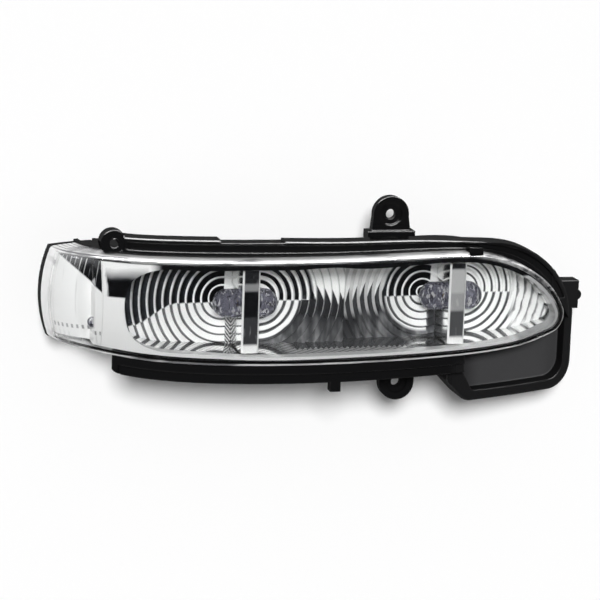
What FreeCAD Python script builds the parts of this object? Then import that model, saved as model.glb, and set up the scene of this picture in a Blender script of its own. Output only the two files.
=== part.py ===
import FreeCAD, Part
import Sketcher
import math
import os

# A turn signal lamp for a door mirror: curved clear lens, ringed bright
# reflector, upright side-facing diodes and a black moulded housing.
# X runs along the lamp, Y runs from the lens to the back, Z is up.
# Depths are measured inward from the lens edge, along the plan curve.

Vector = FreeCAD.Vector
os.makedirs("parts", exist_ok=True)
doc = FreeCAD.newDocument("mirror_turn_lamp")
sheet = doc.addObject("Spreadsheet::Sheet", "sizes")

SIZES = {
    # plan curve and crown of the lens
    "plan_rad": 320.0, "wrap_start": 62.0, "wrap_rad": 43.0, "lens_end_deg": 81.0, "wrap_end_deg": 87.5,
    "right_deg": 32.0, "crown_rad": 52.0, "crown_half": 22.0, "crown_mid": 1.5,
    # lens
    "lens_wall": 2.5, "lens_skirt": 10.0, "lens_edge_round": 2.2, "flute_pitch_deg": 3.0, "flute_rad": 1.7,
    "flute_stand": 0.35, "flute_from_deg": 35.0, "flute_low": -9.0, "flute_high": 20.0,
    # housing
    "housing_wall": 2.2, "bowl_depth": 40.0, "tray_depth": 17.5, "bowl_left": -78.0, "seat_clear": 0.25,
    "rim_front": 5.0, "rim_back": 13.0, "rim_tall": 7.4, "rim_low": 8.9, "rim_round": 1.6, "groove_low": 2.2,
    "groove_high": 5.2, "groove_deep": 1.8, "bead_out": 0.9, "bead_thick": 1.8,
    # mounting features
    "ear_x": 46.7, "ear_y": 29.0, "ear_z": 35.4, "ear_rad": 7.8, "ear_thick": 4.0, "ear_hole_rad": 2.1,
    "ear_bore_rad": 4.6, "ear_bore_deep": 1.2, "ear_foot": 20.8, "low_ear_x": 52.4, "low_ear_z": -38.4,
    "lug_x": -75.0, "lug_y": 15.6, "lug_z": 27.2, "lug_rad": 5.5, "lug_long": 6.6, "lug_hole_rad": 1.9,
    "pin_x": 18.7, "pin_wide": 4.4, "pin_low": -36.0, "clip_long": 11.0, "clip_tall": 12.5,
    # lower right block
    "block_front": 11.0, "block_back": 27.0, "panel_deep": 7.0, "panel_thick": 2.0,
    # reflector
    "cell_inset": 4.4, "mirror_wall": 1.4, "mirror_inset": 3.2, "plate_gap": 3.2, "floor_left": 27.0,
    "floor_mid": 32.0, "floor_right": 36.0, "ring_pitch": 3.3, "ring_first": 6.0, "ring_riser": 0.8,
    "lamp_height": 10.0, "cell_split": 26.0, "mirror_left": -79.4,
    "end_plate_rad": 15.8, "end_plate_x": -77.0, "end_plate_y": 44.2,
    # diodes and their caps
    "left_cap_x": -19.2, "right_cap_x": 72.4, "left_diode_y": 17.0, "right_diode_y": 23.5, "diode_z": 1.0,
    "diode_rad": 6.0, "diode_long": 13.2, "diode_foot_rad": 6.9, "diode_foot": 1.4, "cap_wide": 7.4,
    "cap_wall": 0.9, "cap_top": 16.6, "cap_low": -17.6, "cap_edge": 0.9, "left_cap_front": 6.0,
    "right_cap_front": 13.6, "notch_clear": 0.4, "pcb_thick": 1.2, "diode_pcb_tall": 22.0,
    # main board and electrics
    "board_x": 53.8, "board_y": 37.9, "board_long": 36.0, "board_tall": 24.0, "board_thick": 1.6, "hole_in": 5.8,
    "boss_rad": 3.0, "screw_rad": 1.1, "screw_head_rad": 2.1, "screw_head": 1.4, "screw_long": 4.0,
    "blade_wide": 2.8, "blade_thick": 0.8, "blade_gap": 8.0, "blade_end": 57.5, "socket_wide": 16.0,
    "socket_tall": 8.4, "socket_wall": 2.0, "socket_end": 60.0, "socket_floor": 48.0, "vent_x": -38.0,
    "vent_z": -6.0, "vent_cap_rad": 6.0, "vent_pipe_rad": 3.4, "vent_long": 6.0, "wire_rad": 0.6,
    "end_diode_rad": 2.2, "end_diode_long": 3.6, "end_board_tall": 18.0,
}

for row, (alias, value) in enumerate(SIZES.items(), start=1):
    sheet.set("A%d" % row, alias)
    sheet.set("B%d" % row, str(value))
    sheet.setAlias("B%d" % row, alias)
doc.recompute()


class Size:
    # a driving dimension: its value and the expression that binds it
    def __init__(self, value, text):
        self.value = value
        self.text = text

    def joined(self, other, sign):
        if not isinstance(other, Size):
            other = Size(float(other), repr(float(other)))
        text = "(%s %s %s)" % (self.text, sign, other.text)
        if sign == "+":
            return Size(self.value + other.value, text)
        if sign == "-":
            return Size(self.value - other.value, text)
        if sign == "*":
            return Size(self.value * other.value, text)
        return Size(self.value / other.value, text)

    def __add__(self, other):
        return self.joined(other, "+")

    def __sub__(self, other):
        return self.joined(other, "-")

    def __mul__(self, other):
        return self.joined(other, "*")

    def __truediv__(self, other):
        return self.joined(other, "/")


def size(alias):
    return Size(float(sheet.get(alias)), "sizes." + alias)


def num(alias):
    return float(sheet.get(alias))


nodes = []


def placed(obj, x, y, z, axis=(0, 0, 1), turn=0.0):
    # the lamp's reference point is the upper ear's screw hole, where the
    # screw's head bears on the counterbore's floor
    base = Vector(x - num("ear_x"), y - num("ear_y") - num("ear_bore_deep"), z - num("ear_z"))
    obj.Placement = FreeCAD.Placement(base, FreeCAD.Rotation(Vector(*axis), turn))
    nodes.append(obj)


def moulding(name, shape):
    obj = doc.addObject("Part::Feature", name)
    obj.Label = name
    obj.Shape = shape
    placed(obj, 0, 0, 0)
    return obj


# Sketch helpers for the bodies
def new_body(name):
    body = doc.addObject("PartDesign::Body", name)
    body.Label = name
    return body


def new_sketch(body, role, name):
    plane = [item for item in body.Origin.OriginFeatures if item.Role == role][0]
    sketch = body.newObject("Sketcher::SketchObject", name)
    sketch.AttachmentSupport = (plane, [""])
    sketch.MapMode = "FlatFace"
    return sketch


def bind(sketch, index, amount):
    sketch.setExpression("Constraints[%d]" % index, amount.text)


def pin_point(sketch, line, end, axis, amount):
    # holds one coordinate of a sketch point at a bound distance from the origin
    kind = "DistanceX" if axis == 0 else "DistanceY"
    if not isinstance(amount, Size):
        amount = Size(float(amount), repr(float(amount)))
    if abs(amount.value) < 1e-9:
        sketch.addConstraint(Sketcher.Constraint("PointOnObject", line, end, -2 if axis == 0 else -1))
        return
    index = sketch.addConstraint(Sketcher.Constraint(kind, -1, 1, line, end, amount.value))
    bind(sketch, index, amount)


def outline_sketch(sketch, corners):
    # a closed run of straight lines through bound corners
    flat = [[c.value if isinstance(c, Size) else float(c) for c in corner] for corner in corners]
    count = len(flat)
    for i in range(count):
        a = Vector(flat[i][0], flat[i][1], 0)
        b = Vector(flat[(i + 1) % count][0], flat[(i + 1) % count][1], 0)
        sketch.addGeometry(Part.LineSegment(a, b), False)
    for i in range(count):
        sketch.addConstraint(Sketcher.Constraint("Coincident", i, 2, (i + 1) % count, 1))
    for i in range(count):
        pin_point(sketch, i, 1, 0, corners[i][0])
        pin_point(sketch, i, 1, 1, corners[i][1])


def box_sketch(sketch, left, right, low, high):
    outline_sketch(sketch, [(left, low), (right, low), (right, high), (left, high)])


def circle_sketch(sketch, x, y, radius):
    place = [c.value if isinstance(c, Size) else float(c) for c in (x, y)]
    sketch.addGeometry(Part.Circle(Vector(place[0], place[1], 0), Vector(0, 0, 1), radius.value), False)
    line = sketch.GeometryCount - 1
    index = sketch.addConstraint(Sketcher.Constraint("Radius", line, radius.value))
    bind(sketch, index, radius)
    pin_point(sketch, line, 3, 0, x)
    pin_point(sketch, line, 3, 1, y)


def pad(body, sketch, name, length, both=False, back=False):
    feature = body.newObject("PartDesign::Pad", name)
    feature.Profile = sketch
    feature.Length = length.value
    feature.setExpression("Length", length.text)
    feature.SideType = "Symmetric" if both else "One side"
    feature.Reversed = back
    doc.recompute()
    return feature


def pocket(body, sketch, name, length, both=False, back=False):
    before = body.Shape.Volume
    feature = body.newObject("PartDesign::Pocket", name)
    feature.Profile = sketch
    feature.Length = length.value
    feature.setExpression("Length", length.text)
    feature.SideType = "Symmetric" if both else "One side"
    feature.Reversed = back
    doc.recompute()
    if body.Shape.Volume > before - 1e-6:
        raise RuntimeError(name + " cuts nothing")
    return feature


def turned(body, sketch, name):
    feature = body.newObject("PartDesign::Revolution", name)
    feature.Profile = sketch
    feature.ReferenceAxis = (sketch, ["V_Axis"])
    feature.Angle = 360.0
    doc.recompute()
    return feature


# Plan curve: a wide arc, then a small arc that wraps the left end round
plan_rad = num("plan_rad")
wrap_rad = num("wrap_rad")
wrap_turn = math.degrees(math.asin(num("wrap_start") / plan_rad))
slope = math.radians(wrap_turn)
plan_mid = Vector(0, plan_rad, 0)
wrap_mid = Vector(
    -num("wrap_start") + wrap_rad * math.sin(slope),
    plan_rad - (plan_rad - wrap_rad) * math.cos(slope),
    0,
)
crown_drop = math.sqrt(num("crown_rad") ** 2 - num("crown_half") ** 2)
LOW, HIGH = -60.0, 60.0
END_DIODE_Y, END_DIODE_Z = 19.4, -6.0
WIRE_Y, WIRE_Z = 30.4, 6.0


def front_height(rad, offset, z):
    # radius of the crowned front, moved inward by the offset, at height z
    crown = num("crown_rad") - offset
    return rad - crown_drop + math.sqrt(crown ** 2 - (z - num("crown_mid")) ** 2)


def swept(face_points, mid, start, end, arc=None):
    # turns a profile given as (radius, z) corners about an upright axis
    corners = [Vector(mid.x, mid.y - r, z) for r, z in face_points]
    edges = []
    for i in range(len(corners)):
        a = corners[i]
        b = corners[(i + 1) % len(corners)]
        if arc is not None and arc[0] == i:
            through = Vector(mid.x, mid.y - arc[1][0], arc[1][1])
            edges.append(Part.Arc(a, through, b).toShape())
        else:
            edges.append(Part.makeLine(a, b))
    face = Part.Face(Part.Wire(edges))
    face.rotate(mid, Vector(0, 0, 1), -start)
    return face.revolve(mid, Vector(0, 0, 1), start - end)


def straight_band(rad, mid, near, far, start, end):
    points = [(rad - far, LOW), (rad - near, LOW), (rad - near, HIGH), (rad - far, HIGH)]
    return swept(points, mid, start, end)


def crowned_band(rad, mid, offset, far, start, end, inner=None):
    low, high = -31.0, 33.0
    middle = num("crown_mid")
    points = [(rad - far, low), (front_height(rad, offset, low), low)]
    points += [(front_height(rad, offset, high), high), (rad - far, high)]
    return swept(points, mid, start, end, (1, (front_height(rad, offset, middle), middle)))


def fused(shapes):
    result = shapes[0].fuse(shapes[1:]) if len(shapes) > 1 else shapes[0]
    return result.removeSplitter()


def straight_slab(near, far, end):
    wide = straight_band(plan_rad, plan_mid, near, far, -num("right_deg"), wrap_turn)
    if end <= wrap_turn:
        return wide
    return fused([wide, straight_band(wrap_rad, wrap_mid, near, far, wrap_turn, end)])


def crowned_slab(offset, far, end):
    wide = crowned_band(plan_rad, plan_mid, offset, far, -num("right_deg"), wrap_turn)
    if end <= wrap_turn:
        return wide
    return fused([wide, crowned_band(wrap_rad, wrap_mid, offset, far, wrap_turn, end)])


# Front outline of the lens, from the wrapped end over the top to the tip
# and back along the bottom
EDGE = [(-115, 19.5), (-98, 21.4), (-84, 22.6), (-62, 22.5), (-25, 22.1), (20, 22.3), (60, 22.6), (82, 21.4),
        (95, 18.2), (106, 13.2), (116, 5.8), (122.4, -2.4), (124.6, -8.6), (122.6, -14.2), (116, -17.6),
        (106, -20.4), (95, -21.8), (60, -22.8), (15, -23.0), (-28, -22.5), (-57, -20.9), (-80, -18.2), (-115, -17.5)]
edge_curve = Part.BSplineCurve()
edge_curve.interpolate([Vector(x, 0, z) for x, z in EDGE])
# Share of its height that the rim's top keeps where it narrows
NARROW = {20: 0.84, 60: 0.70, 82: 0.62, 95: 0.84, 106: 0.97}


def edge_points(inset, first=0, last=None, low=None, narrow=False):
    # the outline's points moved inward at right angles to the edge, by
    # another distance along the bottom where low is given
    moved = []
    for x, z in EDGE[first:last]:
        place = edge_curve.parameter(Vector(x, 0, z))
        along = edge_curve.tangent(place)[0]
        move = low if low is not None and z < -10 else inset
        if narrow and z > 0:
            move *= NARROW.get(x, 1.0)
        moved.append(Vector(x + along.z * move, 0, z - along.x * move))
    return moved


def prism(wire):
    face = Part.Face(wire)
    face.translate(Vector(0, -30, 0))
    return face.extrude(Vector(0, 160, 0))


def outline_prism(inset, low=None, narrow=False):
    points = edge_points(inset, low=low, narrow=narrow)
    curve = Part.BSplineCurve()
    curve.interpolate(points)
    return prism(Part.Wire([curve.toShape(), Part.makeLine(points[-1], points[0])]))


def polygon_prism(corners, rounds=()):
    points = [Vector(x, 0, z) for x, z in corners]
    body = prism(Part.makePolygon(points + [points[0]]))
    for (x, z), radius in rounds:
        picks = []
        for edge in body.Edges:
            ends = [v.Point for v in edge.Vertexes]
            if len(ends) == 2 and all(abs(p.x - x) < 0.01 and abs(p.z - z) < 0.01 for p in ends):
                picks.append(edge)
        body = body.makeFillet(radius, picks)
    return body


def block(x0, x1, y0, y1, z0, z1):
    return Part.makeBox(x1 - x0, y1 - y0, z1 - z0, Vector(x0, y0, z0))


def rod(radius, x, y0, y1, z):
    return Part.makeCylinder(radius, y1 - y0, Vector(x, y0, z), Vector(0, 1, 0))


def cell_prism(inset):
    # the ringed field: parallel to the lens edge, with an oval left end
    points = edge_points(inset, 5, 20)
    grow = num("cell_inset") - inset
    left = [(-44.0, -17.0 - grow), (-57.0, -15.9 - grow), (-67.6, -10.6 - 0.8 * grow), (-71.6 - grow, 1.6)]
    left += [(-69.0, 12.2 + 0.8 * grow), (-61.5, 16.7 + grow), (-45.0, 17.4 + grow), (-22.0, 17.6 + grow)]
    left += [(0.0, 17.6 + grow)]
    curve = Part.BSplineCurve()
    curve.interpolate(points + [Vector(x, 0, z) for x, z in left], PeriodicFlag=True)
    return prism(Part.Wire([curve.toShape()]))


def lens_shape():
    wall = num("lens_wall")
    skirt = num("lens_skirt")
    end = num("lens_end_deg")
    outer = crowned_slab(0.0, skirt, end).common(outline_prism(0.0))
    outer = softened(outer, None, num("lens_edge_round"))
    inner = crowned_slab(wall, skirt + 5.0, end + 1.0).common(outline_prism(wall))
    shell = outer.cut(inner)
    # upright flutes inside the wrapped end
    start = num("flute_from_deg")
    zone = crowned_band(wrap_rad, wrap_mid, wall - 0.8, 0.0, start - 1.5, end)
    zone = zone.common(block(-130, 0, -20, 80, num("flute_low"), num("flute_high")))
    ring = num("crown_rad") - wall
    count = int((end - 1.0 - start) / num("flute_pitch_deg")) + 1
    ribs = []
    for i in range(count):
        turn = math.radians(start + i * num("flute_pitch_deg"))
        hub = wrap_rad - crown_drop
        middle = Vector(wrap_mid.x - hub * math.sin(turn), wrap_mid.y - hub * math.cos(turn), num("crown_mid"))
        along = Vector(-math.cos(turn), math.sin(turn), 0)
        radius = ring + num("flute_rad") - num("flute_stand")
        ribs.append(Part.makeTorus(radius, num("flute_rad"), middle, along))
    ribs = [rib.common(zone) for rib in ribs]
    return fused([shell] + ribs)


def ear(x, z, y, lean):
    # a tapered neck and a round head, with a counterbored screw hole
    rad = num("ear_rad")
    base = z - lean * 14.0
    neck = [(x - rad - 1.4, base), (x + rad + 1.8, base), (x + rad * 0.98, z), (x - rad * 0.98, z)]
    points = [Vector(px, y, pz) for px, pz in neck]
    plate = Part.Face(Part.makePolygon(points + [points[0]])).extrude(Vector(0, num("ear_thick"), 0))
    return plate.fuse(rod(rad, x, y, y + num("ear_thick"), z))


def housing_shape():
    wall = num("housing_wall")
    skirt = num("lens_skirt")
    lens_end = num("lens_end_deg")
    wrap_end = num("wrap_end_deg")
    left = num("bowl_left")
    # shallow tray behind the whole lens and deep bowl behind its straight part
    tray = straight_slab(skirt, num("tray_depth"), wrap_end).common(outline_prism(0.0))
    deep = straight_band(plan_rad, plan_mid, 14.0, num("bowl_depth"), -num("right_deg"), 20.0)
    bowl = deep.common(outline_prism(0.0)).common(block(left, 160, -20, 120, -60, 60))
    end_cap = crowned_band(wrap_rad, wrap_mid, 0.0, num("tray_depth"), lens_end, wrap_end)
    end_cap = end_cap.common(outline_prism(0.0))
    bead = straight_slab(skirt, skirt + num("bead_thick"), wrap_end).common(outline_prism(-num("bead_out")))
    # thick rim round the lens, left off at the wrapped end
    rim_edge = outline_prism(-num("rim_tall"), -num("rim_low"), True)
    rim = straight_slab(num("rim_front"), num("rim_back"), 34.0).common(rim_edge)
    start = [(-75, 60), (-76, 0), (-79.9, -18.5), (-77.8, -23), (-74, -26.8), (-67, -30.1), (-58, -34)]
    keep = polygon_prism(start + [(-58, -60), (160, -60), (160, 60)])
    rim = rim.common(keep)
    rim = softened(rim, num("rim_front"), num("rim_round"))
    # block at the lower right with a recessed panel
    frame = straight_slab(num("block_front"), num("block_back"), wrap_turn)
    corners = [(72, -15), (72, -36.8), (81, -46.0), (137.2, -46.0), (137.2, -10), (126, 8), (100, 0)]
    rounds = [((72, -36.8), 5.0), ((81, -46.0), 7.0), ((137.2, -46.0), 12.0), ((137.2, -10), 9.0)]
    lower = frame.common(polygon_prism(corners, rounds))
    lower = softened(lower, num("block_front"), num("rim_round"))
    parts = [tray, bowl, end_cap, bead, rim, lower]
    # screw ears, rail lug, locating pin and end clip
    ear_y = num("ear_y")
    parts.append(ear(num("ear_x"), num("ear_z"), ear_y, 1.0))
    half = num("ear_foot") / 2.0
    parts.append(block(num("ear_x") - half, num("ear_x") + half, ear_y - 1.5, ear_y + 6.0, 19.0, 28.4))
    parts.append(ear(num("low_ear_x"), num("low_ear_z"), ear_y + 1.0, -1.0))
    parts.append(block(num("low_ear_x") - 9.0, num("low_ear_x") + 9.0, ear_y, ear_y + 6.0, -33.0, -20.0))
    lug_y = num("lug_y")
    parts.append(rod(num("lug_rad"), num("lug_x"), lug_y, lug_y + num("lug_long"), num("lug_z")))
    pin_half = num("pin_wide") / 2.0
    parts.append(block(num("pin_x") - pin_half, num("pin_x") + pin_half, 7.4, 12.0, num("pin_low"), -28.0))
    clip_x = 127.0 + num("clip_long")
    clip_mid = -3.4
    clip_half = num("clip_tall") / 2.0
    parts.append(block(122.0, clip_x, 40.0, 48.0, clip_mid - clip_half, clip_mid + clip_half))
    parts.append(rod(2.4, clip_x - 0.4, 41.5, 46.5, clip_mid - 0.5))
    # connector shroud and vent pipe on the back
    shroud_x = num("board_x") - 2.0
    out_wide = num("socket_wide") / 2.0 + num("socket_wall")
    out_tall = num("socket_tall") / 2.0 + num("socket_wall")
    end_y = num("socket_end")
    parts.append(block(shroud_x - out_wide, shroud_x + out_wide, 41.0, end_y, -out_tall, out_tall))
    parts.append(block(shroud_x - 3.0, shroud_x + 3.0, 48.0, 51.0, out_tall, out_tall + 1.6))
    back = plan_rad - num("bowl_depth")
    vent_y = plan_rad - math.sqrt(back ** 2 - num("vent_x") ** 2)
    parts.append(rod(num("vent_pipe_rad"), num("vent_x"), vent_y - 1.5, vent_y + num("vent_long"), num("vent_z")))
    body = fused(parts)
    # hollow inside
    pocket_front = crowned_slab(-3.0, skirt, lens_end + 0.3).common(outline_prism(-num("seat_clear")))
    tray_room = straight_slab(skirt - 1.0, num("tray_depth") - wall, lens_end)
    tray_room = tray_room.common(outline_prism(wall))
    deep_room = straight_band(plan_rad, plan_mid, 13.0, num("bowl_depth") - wall, -num("right_deg"), 20.0)
    deep_room = deep_room.common(outline_prism(wall)).common(block(left + wall, 160, -20, 120, -60, 60))
    room = fused([tray_room, deep_room])
    body = body.cut(pocket_front).cut(room)
    # groove along the top rail, step along the bottom rail
    groove = straight_slab(num("rim_front") - 2.0, num("rim_front") + num("groove_deep"), 30.0)
    strip = outline_prism(-num("groove_high"), None, True).cut(outline_prism(-num("groove_low"), None, True))
    top_strip = strip.common(block(-69.8, 160, -20, 80, -3, 60))
    body = body.cut(groove.common(top_strip))
    step = outline_prism(-num("rim_low") - 1.0).cut(outline_prism(-4.6))
    body = body.cut(groove.common(step).common(block(-90, 90, -20, 80, -60, -10)))
    # low place in the rail's top edge
    body = body.cut(block(-32.4, -5.6, -10, 40, 28.3, 40))
    # front and back of the block's panel
    inner = [(77, -20), (78.5, -31), (84.5, -41.3), (132.6, -41.3), (132.6, -14), (126, -4), (100, -10)]
    inner_rounds = [((84.5, -41.3), 3.0), ((132.6, -41.3), 8.0)]
    window = polygon_prism(inner, inner_rounds).cut(outline_prism(-1.3))
    panel_y = num("block_front") + num("panel_deep")
    body = body.cut(straight_slab(-8.0, panel_y, wrap_turn).common(window))
    behind = straight_slab(panel_y + num("panel_thick"), num("block_back") + 4.0, wrap_turn)
    body = body.cut(behind.common(window))
    # screw holes
    for x, z, y in ((num("ear_x"), num("ear_z"), ear_y), (num("low_ear_x"), num("low_ear_z"), ear_y + 1.0)):
        body = body.cut(rod(num("ear_hole_rad"), x, y - 2.0, y + 12.0, z))
        body = body.cut(rod(num("ear_bore_rad"), x, y - 1.0, y + num("ear_bore_deep"), z))
    body = body.cut(rod(num("lug_hole_rad"), num("lug_x"), lug_y - 9.0, lug_y + 20.0, num("lug_z")))
    for y0, y1 in ((lug_y - 9.0, lug_y), (lug_y + num("lug_long"), lug_y + 20.0)):
        body = body.cut(rod(num("lug_rad") - 1.0, num("lug_x"), y0, y1, num("lug_z")))
    # connector cavity, blade slots and vent bore
    wide = num("socket_wide") / 2.0
    tall = num("socket_tall") / 2.0
    body = body.cut(block(shroud_x - wide, shroud_x + wide, num("socket_floor"), end_y + 1.0, -tall, tall))
    body = body.cut(block(shroud_x - 1.0, shroud_x + 1.0, num("socket_floor"), end_y + 1.0, -tall - 1.0, -tall))
    for side in (-1, 1):
        x = shroud_x + side * num("blade_gap") / 2.0
        w = num("blade_wide") / 2.0 + 0.1
        t = num("blade_thick") / 2.0 + 0.1
        body = body.cut(block(x - w, x + w, 36.0, num("socket_floor") + 1.0, -t, t))
    body = body.cut(rod(1.6, num("vent_x"), vent_y - 8.0, vent_y + num("vent_long") + 1.0, num("vent_z")))
    # pillars for the reflector and bosses for the board
    posts = []
    floor_back = {-52.0: num("floor_left"), 2.0: num("floor_left"), 108.0: num("floor_right")}
    for x, level in floor_back.items():
        posts.append(rod(num("boss_rad"), x, level + num("mirror_wall"), 62.0 if x > 60 else 45.0, 0.0))
    for x, z in board_holes():
        y0 = num("board_y") + num("board_thick")
        posts.append(rod(num("boss_rad"), x, y0, y0 + 9.0, z))
    solid_room = deep.common(outline_prism(0.0))
    posts = [post.common(solid_room) for post in posts]
    # small tab that laps over the lens's top edge
    tab = straight_slab(-1.2, num("rim_front") + 1.5, wrap_turn)
    tab = tab.common(outline_prism(-2.6).cut(outline_prism(1.0))).common(block(75.4, 82.0, -20, 80, 10, 60))
    posts.append(tab.cut(crowned_slab(-0.1, skirt + 2.0, wrap_turn).common(outline_prism(-num("seat_clear")))))
    body = fused([body] + posts)
    for x, z in board_holes():
        y0 = num("board_y") + num("board_thick")
        body = body.cut(rod(num("screw_rad"), x, y0 - 1.0, y0 + 2.5, z))
    # wire holes between the wrapped end and the bowl
    for side in (-1, 1):
        hole = Part.makeCylinder(num("wire_rad") + 0.4, 12.0, Vector(left - 4.0, WIRE_Y, side * WIRE_Z), Vector(1, 0, 0))
        body = body.cut(hole)
    return body


def softened(shape, depth, radius):
    # rounds the long outer front edges of a rim
    picks = []
    for edge in shape.Edges:
        if edge.Length < 25.0:
            continue
        middle = edge.valueAt((edge.FirstParameter + edge.LastParameter) / 2.0)
        spread = math.hypot(middle.x - plan_mid.x, middle.y - plan_mid.y)
        if depth is None:
            wrapped = math.hypot(middle.x - wrap_mid.x, middle.y - wrap_mid.y) - wrap_rad
            ahead = wrapped if middle.x < -num("wrap_start") else spread - plan_rad
            lies_ahead = -2.5 < ahead and abs(middle.z) > 12.0
            if lies_ahead:
                picks.append(edge)
        elif abs(spread - plan_rad + depth) < 0.05:
            picks.append(edge)
    if not picks:
        return shape
    try:
        rounded = shape.makeFillet(radius, picks)
        if rounded.isValid() and rounded.Volume > 0.8 * shape.Volume:
            return rounded
    except Part.OCCError:
        pass
    print("not softened", depth, len(picks))
    return shape


def board_holes():
    x = num("board_x")
    reach = num("board_long") / 2.0 - num("hole_in")
    rise = num("board_tall") / 2.0 - 3.2
    return [(x - reach, rise), (x + reach, -rise)]


# Ringed reflector: each ring is one facet of a stepped dish round its diode
def ring_field(x, z, floor, reach):
    back = floor + num("mirror_wall")
    pitch = num("ring_pitch")
    riser = num("ring_riser")
    first = num("ring_first")
    count = int(math.ceil((reach - first) / pitch))
    points = [(0.0, back), (0.0, floor), (first, floor)]
    for i in range(count):
        start = first + i * pitch
        peak = start + pitch - riser
        lean = 0.5 * math.atan2((start + peak) / 2.0, num("lamp_height"))
        points.append((peak, floor - (peak - start) * math.tan(lean)))
        points.append((start + pitch, floor))
    points.append((points[-1][0], back))
    corners = [Vector(x + r, y, z) for r, y in points]
    face = Part.Face(Part.makePolygon(corners + [corners[0]]))
    return face.revolve(Vector(x, 0, z), Vector(0, 1, 0), 360)


def reflector_shape():
    wall = num("mirror_wall")
    inset = num("cell_inset")
    left_x = num("left_cap_x")
    right_x = num("right_cap_x")
    split = num("cell_split")
    z = num("diode_z")
    cells = cell_prism(inset)
    grown = cell_prism(inset - wall)
    diode_x = {"a": left_x - 7.6, "b": left_x + 8.0, "c": right_x - 10.0, "d": right_x + 9.0}
    fields = [
        (ring_field(diode_x["a"], z, num("floor_left"), 49.0), -90.0, left_x, num("floor_left")),
        (ring_field(diode_x["b"], z, num("floor_left"), 42.0), left_x, split, num("floor_left")),
        (ring_field(diode_x["c"], z, num("floor_mid"), 42.0), split, right_x, num("floor_mid")),
        (ring_field(diode_x["d"], z, num("floor_right"), 50.0), right_x, 140.0, num("floor_right")),
    ]
    parts = []
    for field, x0, x1, floor in fields:
        parts.append(field.common(grown).common(block(x0, x1, -20, 90, -60, 60)))
        # upright wall round the field, from the front plate down to the floor
        ring = crowned_slab(num("plate_gap"), 40.0, wrap_turn + 20.0).common(grown.cut(cells))
        parts.append(ring.common(block(x0, x1, -20, floor + wall, -60, 60)))
    # step between fields of different depth
    parts.append(block(split - wall, split, num("floor_left"), num("floor_mid") + wall, -60, 60).common(grown))
    seat = num("cap_wide") / 2.0 + 0.3
    parts.append(block(right_x - seat, right_x + seat, num("floor_mid"), num("floor_right") + wall, -60, 60)
                 .common(grown))
    # crowned front plate between the field and the lens's skirt
    plate = crowned_slab(num("plate_gap"), 8.0, 40.0)
    plate = plate.cut(crowned_slab(num("plate_gap") + wall, 12.0, 44.0))
    plate = plate.common(outline_prism(num("mirror_inset"))).cut(cells)
    plate = plate.common(block(num("mirror_left"), 140, -20, 90, -60, 60))
    parts.append(plate)
    body = fused(parts)
    # flat seats and slots for the diode boards
    for x, floor in ((left_x, num("floor_left")), (right_x, num("floor_mid"))):
        body = body.cut(block(x - seat, x + seat, 8.0, floor, -60, 60).common(cells))
        slot = num("pcb_thick") / 2.0 + 0.2
        tall = num("diode_pcb_tall") / 2.0 + 0.3
        body = body.cut(block(x - slot, x + slot, floor - 1, floor + 9.0, z - tall, z + tall))
    return body


def end_reflector_shape():
    # bright cover in the wrapped end: a crowned plate, set back behind the
    # ringed reflector, and an upright side wall that the end diode looks out of
    wall = num("mirror_wall")
    lip_gap = num("plate_gap")
    right = num("mirror_left") - wall
    back = num("tray_depth") - num("housing_wall")
    middle = Vector(num("end_plate_x"), num("end_plate_y"), 0)
    rad = num("end_plate_rad")
    plate = crowned_band(rad, middle, 0.0, 12.0, 5.0, 88.0)
    plate = plate.cut(crowned_band(rad, middle, wall, 14.0, 3.0, 90.0))
    plate = plate.common(block(-130, right - wall / 2.0, -20, 90, -60, 60))
    side = block(right - wall, right, -20, 90, -60, 60)
    room = crowned_band(wrap_rad, wrap_mid, lip_gap, back, 20.0, num("lens_end_deg") - 0.5)
    room = room.common(outline_prism(num("mirror_inset")))
    behind = crowned_band(wrap_rad, wrap_mid, lip_gap + wall, back + 4.0, 18.0, num("lens_end_deg") + 4.0)
    lip = room.common(block(right - wall, num("mirror_left") - 0.1, -20, 90, -60, 60)).cut(behind)
    body = fused([plate.common(room), side.common(room), lip])
    hole = Part.makeCylinder(num("end_diode_rad") + 0.3, 12.0, Vector(right - 6.0, END_DIODE_Y, END_DIODE_Z),
                             Vector(1, 0, 0))
    return body.cut(hole)


housing = moulding("rear_housing", housing_shape())
lens = moulding("clear_lens", lens_shape())
reflector = moulding("ringed_reflector", reflector_shape())
end_reflector = moulding("end_reflector", end_reflector_shape())


# Divider caps: bright channels, open at the back, notched for the diodes
def divider_cap(name, x, front, floor, diode_y):
    body = new_body(name)
    outer = new_sketch(body, "XY_Plane", name + "_plan")
    half = size("cap_wide") / 2.0
    depth = floor - front
    edge = size("cap_edge")
    wall = size("cap_wall")
    inner = half - wall
    corners = [(Size(0, "0") - half + edge, 0), (half - edge, 0), (half, edge), (half, depth)]
    corners += [(inner, depth), (inner, wall + 0.6), (Size(0, "0") - inner, wall + 0.6)]
    corners += [(Size(0, "0") - inner, depth), (Size(0, "0") - half, depth), (Size(0, "0") - half, edge)]
    outline_sketch(outer, corners)
    pad(body, outer, name + "_channel", size("cap_top") - size("cap_low"))
    notch = new_sketch(body, "YZ_Plane", name + "_notch")
    rad = size("diode_rad") + size("notch_clear")
    middle = diode_y - front
    level = size("diode_z") - size("cap_low")
    box_sketch(notch, middle, depth + 1.0, level - rad, level + rad)
    pocket(body, notch, name + "_side_openings", size("cap_wide") + 2.0, both=True)
    rounding = new_sketch(body, "YZ_Plane", name + "_round")
    circle_sketch(rounding, middle, level, rad)
    pocket(body, rounding, name + "_round_openings", size("cap_wide") + 2.0, both=True)
    placed(body, x.value, front.value, num("cap_low"))
    return body


divider_cap("left_divider_cap", size("left_cap_x"), size("left_cap_front"), size("floor_left"),
            size("left_diode_y"))
divider_cap("right_divider_cap", size("right_cap_x"), size("right_cap_front"), size("floor_mid"),
            size("right_diode_y"))


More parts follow.
